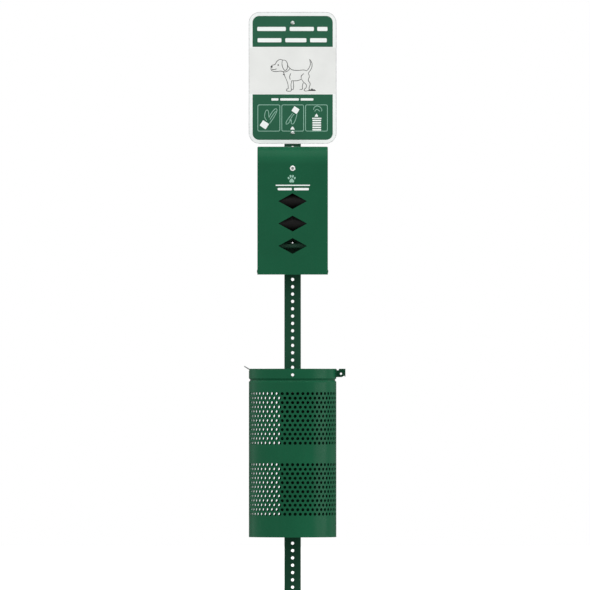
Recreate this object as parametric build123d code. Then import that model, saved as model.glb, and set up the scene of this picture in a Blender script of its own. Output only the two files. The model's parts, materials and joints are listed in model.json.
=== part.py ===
from build123d import *
import math
import os

# Dog waste station: a sign, a three-roll bag dispenser and a round bin on one perforated square post.
# Millimetres. +X is right, +Z is up, the station faces -Y.
# The origin is on the post's centre line at ground level. The post's lower end is below ground.

os.makedirs("parts", exist_ok=True)

# ---- driving dimensions -------------------------------------------------------------------
POST_W = 57.15          # 2-1/4 in square tube
POST_T = 2.66           # 12 gauge wall
POST_LEN = 2438.4       # 8 ft
POST_BURIED = 457.2     # 18 in below ground
POST_CORNER = 4.2       # outside corner radius
HOLE_D = 11.11          # 7/16 in holes
PITCH = 25.4            # holes on 1 in centres
FRONT = -POST_W / 2     # y of the post's front face
BACK = POST_W / 2       # y of the post's back face


def grid_z(n):
    """Height of post hole n, counted up from the first hole above ground."""
    return PITCH / 2 + PITCH * n


SIGN_W, SIGN_H, SIGN_T, SIGN_R = 304.8, 457.2, 2.03, 38.1
SIGN_Z0 = 1549.4
SIGN_HOLES = (62, 77)   # post holes used

DISP_W = 244.0
DISP_Z0, DISP_Z1 = 1096.2, 1539.6
DISP_D = 100.0          # depth in front of the post
DISP_T = 1.9            # sheet
DISP_R = 60.0           # rounded top front
DISP_EDGE = 4.0         # bend radius of the cover's long edges
DISP_HOLES = (47, 56)
WIN_W, WIN_H = 99.6, 54.9
WIN_Z = (1195.4, 1272.9, 1350.4)
HINGE_Y, HINGE_Z = -114.0, 1107.3
LOCK_Z = 1464.0
ROD_R, ROLL_Y = 4.0, -90.0
ROLL_R = (9.8, 32.0, 32.0)   # the bottom roll is nearly used up
CORE_R, CORE_BORE_R = 8.0, 4.07
ROLL_L, CORE_L = 200.0, 205.0

BIN_R, BIN_T = 151.3, 1.5
BIN_Z0, RIM_Z, LID_Z = 188.3, 768.3, 770.5
LID_T = 2.0
BEAD_Z, BEAD_H, BEAD_D = 731.4, 5.8, 4.4
BRACKET_W, BRACKET_T, BRACKET_Z0, BRACKET_Z1 = 86.0, 2.5, 222.0, 722.0
BIN_HOLES = (9, 18, 27)
BIN_OPEN_HOLE = 29      # left open, in line with a post hole
BIN_Y = FRONT - BRACKET_T - BIN_R
PIN_X, PIN_Z = 167.4, 753.2
PIN_R, PIN_BORE_R = 5.5, 3.8
EAR_R, EAR_IN, EAR_T = 11.6, 12.0, 2.5
STRAP_W, STRAP_T = 23.0, 2.3

BOLT_S, BOLT_L = 7.94, 9.525   # 5/16 in and 3/8 in


# ---- helpers ------------------------------------------------------------------------------
def block(x0, x1, y0, y1, z0, z1):
    return Pos((x0 + x1) / 2, (y0 + y1) / 2, (z0 + z1) / 2) * Box(x1 - x0, y1 - y0, z1 - z0)


def cyl_x(y, z, x0, x1, r):
    return Pos((x0 + x1) / 2, y, z) * Rot(0, 90, 0) * Cylinder(r, x1 - x0)


def cyl_y(x, z, y0, y1, r):
    return Pos(x, (y0 + y1) / 2, z) * Rot(90, 0, 0) * Cylinder(r, y1 - y0)


def cyl_z(x, y, z0, z1, r):
    return Pos(x, y, (z0 + z1) / 2) * Cylinder(r, z1 - z0)


def front_plate(sketch, x, z, y_back, t):
    """A sketch in the XZ plane, thickened towards -Y from y_back."""
    return extrude(Plane.XZ.offset(-y_back) * Pos(x, z) * sketch, amount=t)


def side_plate(points, x0, x1):
    """A closed YZ outline, thickened from x0 to x1."""
    face = make_face(Polyline(*[(y, z) for y, z in points], close=True))
    return extrude(Plane.YZ.offset(x0) * face, amount=x1 - x0)


def cap(r, h):
    """A domed cap on the XY plane, its crown at +h."""
    big = (r * r + h * h) / (2 * h)
    return (Pos(0, 0, h - big) * Sphere(big)) & (Pos(0, 0, h / 2) * Cylinder(r * 1.2, h))


def button_bolt(d, length, head_d, head_h, socket):
    """Local +Z points out of the head, the seat is at z = 0."""
    s = cap(head_d / 2, head_h) + Pos(0, 0, -length / 2) * Cylinder(d / 2, length)
    s = s - Pos(0, 0, head_h * 0.4) * extrude(RegularPolygon(socket / 2 / math.cos(math.pi / 6), 6), amount=head_h)
    return s


def front(x, y, z):
    """Local +Z turned to face -Y."""
    return Pos(x, y, z) * Rot(90, 0, 0)


def washer(r, bore, t):
    return Pos(0, 0, t / 2) * (Cylinder(r, t) - Cylinder(bore, t * 2))


def nut(af, bore, h):
    body = extrude(RegularPolygon(af / 2 / math.cos(math.pi / 6), 6), amount=h)
    return body - Cylinder(bore, h * 4)


def rivet(d, grip, head_r, head_h, tail_r, tail_h):
    """Head on +Z, seat at z = 0, the tail below the grip."""
    return (
        cap(head_r, head_h)
        + Pos(0, 0, -grip / 2) * Cylinder(d / 2, grip)
        + Pos(0, 0, -grip - tail_h / 2) * Cylinder(tail_r, tail_h)
    )


def save(name, *solids):
    out = []
    for s in solids:
        out += list(s.solids())
    part = out[0] if len(out) == 1 else Compound(children=out)
    part.label = name
    export_step(part, f"parts/{name}.step")


# ---- post ---------------------------------------------------------------------------------
POST_Z0 = -POST_BURIED
tube = extrude(RectangleRounded(POST_W, POST_W, POST_CORNER), amount=POST_LEN)
tube -= extrude(
    RectangleRounded(POST_W - 2 * POST_T, POST_W - 2 * POST_T, POST_CORNER - POST_T), amount=POST_LEN
)
tube = Pos(0, 0, POST_Z0) * tube
rows = [POST_Z0 + PITCH / 2 + PITCH * i for i in range(int(POST_LEN / PITCH + 0.01))]
drills = [cyl_y(0, z, -40, 40, HOLE_D / 2) for z in rows] + [cyl_x(0, z, -40, 40, HOLE_D / 2) for z in rows]
save("post", tube.cut(*drills))

# ---- sign ---------------------------------------------------------------------------------
sign_mid = SIGN_Z0 + SIGN_H / 2
sign = front_plate(RectangleRounded(SIGN_W, SIGN_H, SIGN_R), 0, sign_mid, FRONT, SIGN_T)
sign -= [cyl_y(0, grid_z(n), FRONT - 10, FRONT + 1, 4.2) for n in SIGN_HOLES]
save("sign_panel", sign)
WASHER_T, NUT_H, TAIL = 1.6, 6.75, 3.2
GRIP = POST_W + WASHER_T + NUT_H + TAIL
save(
    "sign_bolts",
    *[
        front(0, FRONT - SIGN_T, grid_z(n)) * button_bolt(BOLT_S, SIGN_T + GRIP, 14.6, 4.4, 4.76)
        for n in SIGN_HOLES
    ],
)
save("sign_washers", *[front(0, BACK + WASHER_T, grid_z(n)) * washer(9.5, BOLT_S / 2, WASHER_T) for n in SIGN_HOLES])
save(
    "sign_nuts",
    *[front(0, BACK + WASHER_T + NUT_H, grid_z(n)) * nut(12.7, BOLT_S / 2, NUT_H) for n in SIGN_HOLES],
)

# ---- dispenser housing (fixed back tray) ----------------------------------------------------
BP = FRONT - DISP_T     # y of the back plate's front face
HX = DISP_W / 2 - DISP_T - 0.6   # outer face of the tray's side flanges
HZ0, HZ1 = 1098.1, 1535.0
back_plate = block(-HX, HX, BP, FRONT, HZ0, HZ1)
side = [
    (FRONT, HZ0),
    (-122.0, HZ0),
    (-122.0, 1115.0),
    (-104.0, 1122.0),
    (-61.0, 1152.0),
    (-61.0, HZ1),
    (FRONT, HZ1),
]
housing = back_plate + side_plate(side, -HX, -HX + DISP_T) + side_plate(side, HX - DISP_T, HX)
housing += block(-HX, HX, -122.0, FRONT, HZ0, HZ0 + DISP_T)
housing += block(-HX, HX, -122.0, -122.0 + DISP_T, HZ0, HZ0 + 9.0)
housing += block(-HX, HX, -55.0, FRONT, HZ1 - DISP_T, HZ1)
housing -= [cyl_y(0, grid_z(n), BP - 5, FRONT + 5, 4.2) for n in DISP_HOLES]
housing -= [cyl_x(HINGE_Y, HINGE_Z, -DISP_W, DISP_W, 3.25)]

RIVET_X, RIVET_Z = 101.5, (1192.0, 1356.0)
KEEP_Z, KEEP_X = (1457.0, 1471.0), -35.0
rivet_points = [(sx * RIVET_X, z) for sx in (-1, 1) for z in RIVET_Z] + [(KEEP_X, z) for z in KEEP_Z]
housing -= [cyl_y(x, z, BP - 5, FRONT + 5, 2.4) for x, z in rivet_points]
# drain slots in the tray's floor
housing -= [block(x - 12, x + 12, -92, -88, HZ0 - 1, HZ0 + 4) for x in (-70, 0, 70)]
save("dispenser_housing", housing)

# ---- dispenser cover ------------------------------------------------------------------------
Y_F = FRONT - DISP_D    # y of the cover's front face


def cover_profile(inset):
    y_f, z_t, r = Y_F + inset, DISP_Z1 - inset, DISP_R - inset
    k = r * (1 - math.sqrt(0.5))
    low = DISP_Z0 if not inset else DISP_Z0 - 5
    back = FRONT - 0.4 if not inset else FRONT + 5
    edge = Polyline((back, z_t), (back, low), (y_f, low), (y_f, z_t - r)).edges() + [
        ThreePointArc((y_f, z_t - r), (y_f + k, z_t - k), (y_f + r, z_t)),
        Line((y_f + r, z_t), (back, z_t)),
    ]
    return make_face(edge)


def cover_solid(inset, half, radius):
    s = extrude(Plane.YZ.offset(-half) * cover_profile(inset), amount=2 * half)
    back = FRONT - 0.4 if not inset else FRONT + 5
    run = [
        e
        for e in s.edges()
        if abs(abs(e.center().X) - half) < 0.01
        and e.center().Y < back - 1
        and not (abs(e.center().Z - (DISP_Z0 if not inset else DISP_Z0 - 5)) < 0.01)
    ]
    return fillet(run, radius)


cover = cover_solid(0, DISP_W / 2, DISP_EDGE) - cover_solid(DISP_T, DISP_W / 2 - DISP_T, DISP_EDGE - DISP_T)
diamond = make_face(
    Polyline((-WIN_W / 2, 0), (0, -WIN_H / 2), (WIN_W / 2, 0), (0, WIN_H / 2), close=True)
)
diamond = fillet(diamond.vertices(), 0.8)
cover -= [front_plate(diamond, 0, z, Y_F + 8, 16) for z in WIN_Z]
cover -= [cyl_y(0, LOCK_Z, Y_F - 5, Y_F + 8, 8.0)]
cover -= [cyl_x(HINGE_Y, HINGE_Z, -DISP_W, DISP_W, 3.25)]
save("dispenser_cover", cover)

# Shoulder rivets: low domed heads outside the cover, upset inside the tray.
hinge_rivets = []
for sx in (-1, 1):
    grip = DISP_W / 2 + 0.3 - (HX - DISP_T)
    r = rivet(6.35, grip, 7.2, 1.4, 5.5, 2.0)
    hinge_rivets.append(Pos(sx * (DISP_W / 2 + 0.3), HINGE_Y, HINGE_Z) * Rot(0, 90 * sx, 0) * r)
save("cover_hinge_rivets", *hinge_rivets)
DGRIP = DISP_T + GRIP
save(
    "dispenser_bolts",
    *[front(0, BP, grid_z(n)) * button_bolt(BOLT_S, DGRIP, 14.6, 4.4, 4.76) for n in DISP_HOLES],
)
save("dispenser_washers", *[front(0, BACK + WASHER_T, grid_z(n)) * washer(9.5, BOLT_S / 2, WASHER_T) for n in DISP_HOLES])
save(
    "dispenser_nuts",
    *[front(0, BACK + WASHER_T + NUT_H, grid_z(n)) * nut(12.7, BOLT_S / 2, NUT_H) for n in DISP_HOLES],
)

# ---- cam lock -------------------------------------------------------------------------------
LB = Y_F + 22.6         # back end of the lock body
lock_body = cyl_y(0, LOCK_Z, Y_F, LB, 7.9)
flange = front(0, Y_F, LOCK_Z) * (Pos(0, 0, 1.1) * Cylinder(9.2, 2.2))
flange = chamfer(flange.edges().sort_by(Axis.Y)[0], 0.8)
lock_body = lock_body + flange - cyl_y(0, LOCK_Z, Y_F - 10, LB + 1, 5.52)
save("lock_body", lock_body)
save("lock_nut", front(0, Y_F + DISP_T + 3.5, LOCK_Z) * nut(22.2, 7.9, 3.5))
plug = cyl_y(0, LOCK_Z, Y_F - 2.0, LB + 1.0, 5.45)
plug -= cyl_y(0, LOCK_Z, Y_F - 5, Y_F - 1.2, 4.1)
plug -= block(-1.3, 1.3, Y_F - 5, Y_F + 7, LOCK_Z - 3.4, LOCK_Z + 3.4)
plug -= cyl_y(0, LOCK_Z, LB + 1 - 8, LB + 2, 2.0)
save("lock_plug", plug)
CAM_Y0, CAM_Y1 = LB + 1.0, LB + 3.5
cam = front_plate(Pos(0, -13.5) * RectangleRounded(14, 41, 6.9), 0, LOCK_Z, CAM_Y1, CAM_Y1 - CAM_Y0)
cam -= cyl_y(0, LOCK_Z, CAM_Y0 - 1, CAM_Y1 + 1, 2.0)
save("lock_cam", cam)
save(
    "cam_screw",
    Pos(0, CAM_Y1, LOCK_Z) * Rot(-90, 0, 0) * (cap(3.8, 2.4) + Pos(0, 0, -5.0) * Cylinder(2.0, 10.0)),
)
keeper = block(-45, -25, BP - 2, BP, 1449, 1479)
keeper += block(-45, -43, Y_F + 19.6, BP, 1449, 1479)
keeper += block(-45, -24, Y_F + 19.6, Y_F + 21.6, 1453, 1475)
keeper -= [cyl_y(KEEP_X, z, BP - 5, BP + 1, 2.4) for z in KEEP_Z]
save("lock_keeper", keeper)

# ---- bag roll carriers ------------------------------------------------------------------------
for name, sx in (("left", -1), ("right", 1)):
    xs = sorted((sx * 108.0, sx * 110.0))
    xf = sorted((sx * 94.0, sx * 110.0))
    arm = side_plate(
        [(BP, 1165), (-60, 1165), (-104, 1180), (-104, 1366), (-60, 1382), (BP, 1382)], xs[0], xs[1]
    )
    arm += block(xf[0], xf[1], BP - 2, BP, 1165, 1382)
    arm -= [cyl_x(ROLL_Y, z, -130, 130, 4.05) for z in WIN_Z]
    arm -= [cyl_y(sx * RIVET_X, z, BP - 5, BP + 1, 2.4) for z in RIVET_Z]
    arm -= [side_plate([(-82, z - 9), (-52, z - 9), (-52, z + 9), (-82, z + 9)], -130, 130) for z in (1234.1, 1311.6)]
    save(f"spindle_bracket_{name}", arm)
save(
    "bracket_rivets",
    *[front(x, BP - 2, z) * rivet(4.8, 2 + DISP_T, 4.5, 1.8, 4.0, 1.4) for x, z in rivet_points],
)
rods, clips = [], []
for z in WIN_Z:
    rod = cyl_x(ROLL_Y, z, -114, 114, ROD_R)
    for sx in (-1, 1):
        c = sx * 111.2
        ring = cyl_x(ROLL_Y, z, c - 0.5, c + 0.5, 6.8) - cyl_x(ROLL_Y, z, c - 2, c + 2, 3.4)
        rod -= cyl_x(ROLL_Y, z, c - 0.5, c + 0.5, 6.0) - cyl_x(ROLL_Y, z, c - 2, c + 2, 3.4)
        clips.append(ring - block(c - 2, c + 2, ROLL_Y - 2.6, ROLL_Y + 2.6, z - 12, z))
    rods.append(rod)
save("spindle_rods", *rods)
save("rod_clips", *clips)
for name, z, r in zip(("bottom", "middle", "top"), WIN_Z, ROLL_R):
    core = cyl_x(ROLL_Y, z, -CORE_L / 2, CORE_L / 2, CORE_R) - cyl_x(ROLL_Y, z, -130, 130, CORE_BORE_R)
    save(f"roll_core_{name}", core)
    bags = cyl_x(ROLL_Y, z, -ROLL_L / 2, ROLL_L / 2, r) - cyl_x(ROLL_Y, z, -130, 130, CORE_R)
    save(f"bag_roll_{name}", bags)

# ---- bin ------------------------------------------------------------------------------------
ri = BIN_R - BIN_T
zb0, zb1 = BEAD_Z - BEAD_H, BEAD_Z + BEAD_H
wall_edges = [
    Line((BIN_R, BIN_Z0), (BIN_R, zb0)),
    ThreePointArc((BIN_R, zb0), (BIN_R - BEAD_D, BEAD_Z), (BIN_R, zb1)),
    Line((BIN_R, zb1), (BIN_R, RIM_Z)),
    Line((BIN_R, RIM_Z), (ri, RIM_Z)),
    Line((ri, RIM_Z), (ri, zb1 + 1)),
    ThreePointArc((ri, zb1 + 1), (ri - BEAD_D, BEAD_Z), (ri, zb0 - 1)),
    Line((ri, zb0 - 1), (ri, BIN_Z0)),
    Line((ri, BIN_Z0), (BIN_R, BIN_Z0)),
]
shell = Pos(0, BIN_Y, 0) * revolve(Plane.XZ * make_face(wall_edges), Axis.Z)
y_rear, y_fore = BIN_Y + BIN_R, BIN_Y - BIN_R
shell -= [cyl_y(0, grid_z(n), y_rear - 20, y_rear + 5, 4.85) for n in BIN_HOLES]
shell -= [
    cyl_y(0, grid_z(BIN_OPEN_HOLE), y_rear - 20, y_rear + 5, HOLE_D / 2),
    cyl_y(0, grid_z(BIN_OPEN_HOLE), y_fore - 5, y_fore + 20, HOLE_D / 2),
]
# rim notches for the hinge strap and for the pull wire
shell -= block(140, 160, BIN_Y - 13.5, BIN_Y + 13.5, RIM_Z - 2.6, RIM_Z + 2)
shell -= block(-160, -144, BIN_Y - 24, BIN_Y + 24, RIM_Z - 4.4, RIM_Z + 2)
ear_rivet_spots = [(a, z) for a in (-8.4, 8.4) for z in (746.6, 759.8)]


def wall_place(angle, z, r):
    """Local +Z points radially out of the bin at this angle from +X."""
    return Pos(0, BIN_Y, z) * Rot(0, 0, angle) * Pos(r, 0, 0) * Rot(0, 90, 0)


shell -= [wall_place(a, z, BIN_R) * Cylinder(2.4, 12) for a, z in ear_rivet_spots]
save("bin_body", shell)

FLOOR_Z = 198.0
floor_face = make_face(
    [
        Line((0, FLOOR_Z), (ri - 3.5, FLOOR_Z)),
        ThreePointArc((ri - 3.5, FLOOR_Z), (ri - 1.03, FLOOR_Z - 1.03), (ri, FLOOR_Z - 3.5)),
        Line((ri, FLOOR_Z - 3.5), (ri, BIN_Z0 + 0.7)),
        Line((ri, BIN_Z0 + 0.7), (ri - BIN_T, BIN_Z0 + 0.7)),
        Line((ri - BIN_T, BIN_Z0 + 0.7), (ri - BIN_T, FLOOR_Z - 3.5)),
        ThreePointArc((ri - BIN_T, FLOOR_Z - 3.5), (ri - BIN_T - 0.59, FLOOR_Z - BIN_T - 0.59), (ri - 3.5, FLOOR_Z - BIN_T)),
        Line((ri - 3.5, FLOOR_Z - BIN_T), (0, FLOOR_Z - BIN_T)),
        Line((0, FLOOR_Z - BIN_T), (0, FLOOR_Z)),
    ]
)
floor = Pos(0, BIN_Y, 0) * revolve(Plane.XZ * floor_face, Axis.Z)
drain = [(0.0, 0.0)] + [(95 * math.cos(math.radians(60 * k)), 95 * math.sin(math.radians(60 * k))) for k in range(6)]
floor -= [cyl_z(x, BIN_Y + y, FLOOR_Z - 6, FLOOR_Z + 4, 5.0) for x, y in drain]
save("bin_floor", floor)

# Full-height channel between the bin's round back and the post.
web_y = FRONT - BRACKET_T
hw = BRACKET_W / 2
bracket = block(-hw, hw, web_y, FRONT, BRACKET_Z0, BRACKET_Z1)
bracket += block(-hw, -hw + BRACKET_T, web_y - 12, FRONT, BRACKET_Z0, BRACKET_Z1)
bracket += block(hw - BRACKET_T, hw, web_y - 12, FRONT, BRACKET_Z0, BRACKET_Z1)
bracket -= cyl_z(0, BIN_Y, 200, 740, BIN_R)
bracket -= [cyl_y(0, grid_z(n), web_y - 5, FRONT + 5, 4.85) for n in BIN_HOLES]
save("bin_bracket", bracket)

SADDLE_T = 1.6
saddles = []
for n in BIN_HOLES:
    ring = cyl_z(0, BIN_Y, grid_z(n) - 14, grid_z(n) + 14, ri) - cyl_z(0, BIN_Y, grid_z(n) - 15, grid_z(n) + 15, ri - SADDLE_T)
    ring = ring & cyl_y(0, grid_z(n), y_rear - 12, y_rear, 12.7)
    saddles.append(ring - cyl_y(0, grid_z(n), y_rear - 20, y_rear + 5, 4.85))
save("bin_saddle_washers", *saddles)
seat_y = BIN_Y + ri - SADDLE_T - 0.27
NUT_HL, WASHER_TL = 8.4, 1.9
BIN_GRIP = (BACK - seat_y) + WASHER_TL + NUT_HL + 3.5
save(
    "bin_bolts",
    *[front(0, seat_y, grid_z(n)) * button_bolt(BOLT_L, BIN_GRIP, 16.7, 5.0, 5.56) for n in BIN_HOLES],
)
save("bin_washers", *[front(0, BACK + WASHER_TL, grid_z(n)) * washer(11.1, BOLT_L / 2, WASHER_TL) for n in BIN_HOLES])
save(
    "bin_nuts",
    *[front(0, BACK + WASHER_TL + NUT_HL, grid_z(n)) * nut(14.3, BOLT_L / 2, NUT_HL) for n in BIN_HOLES],
)

# ---- lid and its hinge ------------------------------------------------------------------------
ear_parts = []
for sy in (-1, 1):
    ys = sorted((BIN_Y + sy * EAR_IN, BIN_Y + sy * (EAR_IN + EAR_T)))
    tongue = block(140, PIN_X, ys[0], ys[1], PIN_Z - EAR_R, PIN_Z + EAR_R) + cyl_y(PIN_X, PIN_Z, ys[0], ys[1], EAR_R)
    yf = sorted((BIN_Y + sy * EAR_IN, BIN_Y + sy * 31.0))
    foot = (
        cyl_z(0, BIN_Y, PIN_Z - EAR_R, PIN_Z + EAR_R, BIN_R + EAR_T) & block(130, 160, yf[0], yf[1], 700, 800)
    )
    ear = (tongue + foot) - cyl_z(0, BIN_Y, 700, 800, BIN_R)
    ear -= cyl_y(PIN_X, PIN_Z, BIN_Y - 40, BIN_Y + 40, PIN_R)
    ear -= [wall_place(a, z, BIN_R) * Cylinder(2.4, 16) for a, z in ear_rivet_spots]
    ear_parts.append(ear)
save("hinge_ears", *ear_parts)
save(
    "ear_rivets",
    *[
        wall_place(a, z, BIN_R + EAR_T) * rivet(4.8, EAR_T + BIN_T + 0.12, 4.4, 1.9, 4.0, 1.4)
        for a, z in ear_rivet_spots
    ],
)
half_pin = EAR_IN + EAR_T
pin = cyl_y(PIN_X, PIN_Z, BIN_Y - half_pin - 1.6, BIN_Y + half_pin + 3.2, PIN_R)
pin += cyl_y(PIN_X, PIN_Z, BIN_Y - half_pin - 1.6, BIN_Y - half_pin, 7.4)
clip_y = BIN_Y + half_pin + 0.7
pin -= cyl_y(PIN_X, PIN_Z, clip_y - 0.5, clip_y + 0.5, 12) - cyl_y(PIN_X, PIN_Z, clip_y - 2, clip_y + 2, 4.9)
pin -= cyl_y(PIN_X, PIN_Z, BIN_Y - 60, BIN_Y + 60, PIN_BORE_R)
save("hinge_pin", pin)
clip = cyl_y(PIN_X, PIN_Z, clip_y - 0.5, clip_y + 0.5, 8.6) - cyl_y(PIN_X, PIN_Z, clip_y - 2, clip_y + 2, 4.9)
clip -= block(PIN_X - 3.6, PIN_X + 3.6, clip_y - 2, clip_y + 2, PIN_Z - 14, PIN_Z)
save("pin_clip", clip)

# Lid: flat disc with a shallow pressed recess in the middle.
ub = LID_Z - LID_T
lid_face = make_face(
    Polyline(
        (0, LID_Z - 3), (92, LID_Z - 3), (98, LID_Z), (BIN_R, LID_Z), (BIN_R, ub), (98.5, ub), (92.5, ub - 3), (0, ub - 3), close=True
    )
)
lid = Pos(0, BIN_Y, 0) * revolve(Plane.XZ * lid_face, Axis.Z)
lid -= block(-160, -143.8, BIN_Y - 23, BIN_Y + 23, 760, 780)
STRAP_RIVETS = (118.0, 138.0)
lid -= [cyl_z(x, BIN_Y, 760, 780, 2.4) for x in STRAP_RIVETS]
PULL_Y = 19.0
lid -= [cyl_z(-112.0, BIN_Y + s * PULL_Y / 2, 760, 780, 2.4) for s in (-1, 1)]
save("lid_plate", lid)

# Strap: under the lid, dips at the rim, over the pin and down outside it, with two cheeks on the pin.
w = STRAP_W / 2
t = STRAP_T
strap = block(105, 152.5, BIN_Y - w, BIN_Y + w, ub - t, ub)


def strap_side(points):
    face = make_face(Polyline(*points, close=True))
    return extrude(Plane.XZ.offset(-(BIN_Y + w)) * face, amount=2 * w)


dip = 5.4
strap += strap_side(
    [
        (152.0, ub),
        (154.6, LID_Z - dip),
        (158.6, LID_Z - dip),
        (161.2, LID_Z),
        (182.7, LID_Z),
        (182.7, PIN_Z - 10.1),
        (180.3, PIN_Z - 10.1),
        (180.3, LID_Z - t),
        (162.6, LID_Z - t),
        (160.0, LID_Z - dip - t),
        (153.4, LID_Z - dip - t),
        (151.2, ub - t),
        (150.0, ub - t),
        (150.0, ub),
    ]
)
for sy in (-1, 1):
    ys = sorted((BIN_Y + sy * (w - 2.3), BIN_Y + sy * w))
    strap += block(PIN_X - 7.4, 181, ys[0], ys[1], PIN_Z - 7.4, LID_Z - 1.5)
strap -= cyl_y(PIN_X, PIN_Z, BIN_Y - 40, BIN_Y + 40, PIN_R + 0.06)
strap -= [cyl_z(x, BIN_Y, 750, 780, 2.4) for x in STRAP_RIVETS]
save("lid_strap", strap)
save(
    "strap_rivets",
    *[
        cyl_z(x, BIN_Y, ub - t, LID_Z, 2.4) + Pos(x, BIN_Y, ub - t - 0.7) * Cylinder(4.0, 1.4)
        for x in STRAP_RIVETS
    ],
)

# Wire pull: a bent loop under the lid's left edge, held by a plate.
WIRE_R = 2.0
wz = ub - WIRE_R
tip_x, tip_z = -165.9, 778.6
path = FilletPolyline(
    (-100.0, BIN_Y - PULL_Y, wz),
    (-146.2, BIN_Y - PULL_Y, wz),
    (tip_x, BIN_Y - PULL_Y, tip_z),
    (tip_x, BIN_Y + PULL_Y, tip_z),
    (-146.2, BIN_Y + PULL_Y, wz),
    (-100.0, BIN_Y + PULL_Y, wz),
    radius=7.0,
)
pull = sweep(Plane(origin=path @ 0, z_dir=path % 0) * Circle(WIRE_R), path)
save("lid_pull", pull)
clip_plate = block(-124, -100, BIN_Y - 27, BIN_Y + 27, ub - 2 * WIRE_R - 1.6, ub - 2 * WIRE_R)
clip_plate += block(-124, -100, BIN_Y - PULL_Y + WIRE_R, BIN_Y + PULL_Y - WIRE_R, ub - 2 * WIRE_R - 0.1, ub)
clip_plate -= [cyl_z(-112.0, BIN_Y + s * PULL_Y / 2, 750, 780, 2.4) for s in (-1, 1)]
save("pull_clip", clip_plate)
save(
    "pull_rivets",
    *[
        cyl_z(-112.0, BIN_Y + s * PULL_Y / 2, ub - 2 * WIRE_R - 1.6, LID_Z, 2.4)
        + Pos(-112.0, BIN_Y + s * PULL_Y / 2, ub - 2 * WIRE_R - 1.6 - 0.7) * Cylinder(4.0, 1.4)
        for s in (-1, 1)
    ],
)
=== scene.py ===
import json
import math

import bmesh
import bpy
import numpy as np
from mathutils import Matrix, Vector


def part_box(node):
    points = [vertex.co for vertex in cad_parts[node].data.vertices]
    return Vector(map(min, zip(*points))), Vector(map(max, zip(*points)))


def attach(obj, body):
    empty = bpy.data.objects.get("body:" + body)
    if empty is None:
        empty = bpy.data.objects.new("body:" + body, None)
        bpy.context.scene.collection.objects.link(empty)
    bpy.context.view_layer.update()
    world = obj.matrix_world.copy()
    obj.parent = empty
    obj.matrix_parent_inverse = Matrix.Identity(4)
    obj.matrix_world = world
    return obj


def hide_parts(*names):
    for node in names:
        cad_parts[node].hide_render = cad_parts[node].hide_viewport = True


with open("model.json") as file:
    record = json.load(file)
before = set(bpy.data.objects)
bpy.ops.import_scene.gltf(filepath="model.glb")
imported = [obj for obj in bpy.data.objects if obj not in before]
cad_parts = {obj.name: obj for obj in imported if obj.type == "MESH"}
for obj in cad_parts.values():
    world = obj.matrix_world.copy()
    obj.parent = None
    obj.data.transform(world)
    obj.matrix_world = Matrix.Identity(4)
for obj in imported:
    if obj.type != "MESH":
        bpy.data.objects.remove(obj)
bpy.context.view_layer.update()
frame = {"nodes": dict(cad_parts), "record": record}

MM = 0.001
SC = bpy.context.scene


# =============================================================== node materials
def material(name):
    m = bpy.data.materials.new(name)
    m.use_nodes = True
    nt = m.node_tree
    nt.nodes.clear()
    out = nt.nodes.new("ShaderNodeOutputMaterial")
    bsdf = nt.nodes.new("ShaderNodeBsdfPrincipled")
    nt.links.new(bsdf.outputs[0], out.inputs[0])
    coord = nt.nodes.new("ShaderNodeTexCoord")
    return m, nt, bsdf, coord.outputs["Object"]


def scaled(nt, vec, scale):
    n = nt.nodes.new("ShaderNodeMapping")
    n.inputs["Scale"].default_value = scale
    nt.links.new(vec, n.inputs["Vector"])
    return n.outputs[0]


def noise(nt, vec, scale, detail=2.0, rough=0.5, distortion=0.0):
    n = nt.nodes.new("ShaderNodeTexNoise")
    n.inputs["Scale"].default_value = scale
    n.inputs["Detail"].default_value = detail
    n.inputs["Roughness"].default_value = rough
    n.inputs["Distortion"].default_value = distortion
    nt.links.new(vec, n.inputs["Vector"])
    return n.outputs["Fac"]


def voronoi(nt, vec, scale, feature="F1", out="Distance", randomness=1.0):
    n = nt.nodes.new("ShaderNodeTexVoronoi")
    n.feature = feature
    n.inputs["Scale"].default_value = scale
    n.inputs["Randomness"].default_value = randomness
    nt.links.new(vec, n.inputs["Vector"])
    return n.outputs[out]


def ramp(nt, fac, stops):
    n = nt.nodes.new("ShaderNodeValToRGB")
    e = n.color_ramp.elements
    while len(e) < len(stops):
        e.new(0.5)
    for el, (p, c) in zip(e, stops):
        el.position = p
        el.color = (*c, 1) if len(c) == 3 else c
    nt.links.new(fac, n.inputs[0])
    return n.outputs[0]


def remap(nt, fac, a, b, lo=0.0, hi=1.0):
    n = nt.nodes.new("ShaderNodeMapRange")
    n.inputs[1].default_value, n.inputs[2].default_value = lo, hi
    n.inputs[3].default_value, n.inputs[4].default_value = a, b
    nt.links.new(fac, n.inputs[0])
    return n.outputs[0]


def mix(nt, fac, a, b, mode="MIX"):
    n = nt.nodes.new("ShaderNodeMix")
    n.data_type = "RGBA"
    n.blend_type = mode
    if isinstance(fac, float):
        n.inputs[0].default_value = fac
    else:
        nt.links.new(fac, n.inputs[0])
    for sock, v in ((n.inputs[6], a), (n.inputs[7], b)):
        if isinstance(v, tuple):
            sock.default_value = (*v, 1)
        else:
            nt.links.new(v, sock)
    return n.outputs[2]


def math_node(nt, op, a, b):
    n = nt.nodes.new("ShaderNodeMath")
    n.operation = op
    for sock, v in ((n.inputs[0], a), (n.inputs[1], b)):
        if isinstance(v, (int, float)):
            sock.default_value = v
        else:
            nt.links.new(v, sock)
    return n.outputs[0]


def bump(nt, bsdf, height, strength, distance):
    n = nt.nodes.new("ShaderNodeBump")
    n.inputs["Strength"].default_value = strength
    n.inputs["Distance"].default_value = distance
    nt.links.new(height, n.inputs["Height"])
    nt.links.new(n.outputs[0], bsdf.inputs["Normal"])


def shade(c, k):
    return tuple(max(0.0, min(1.0, v * k)) for v in c)


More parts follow.
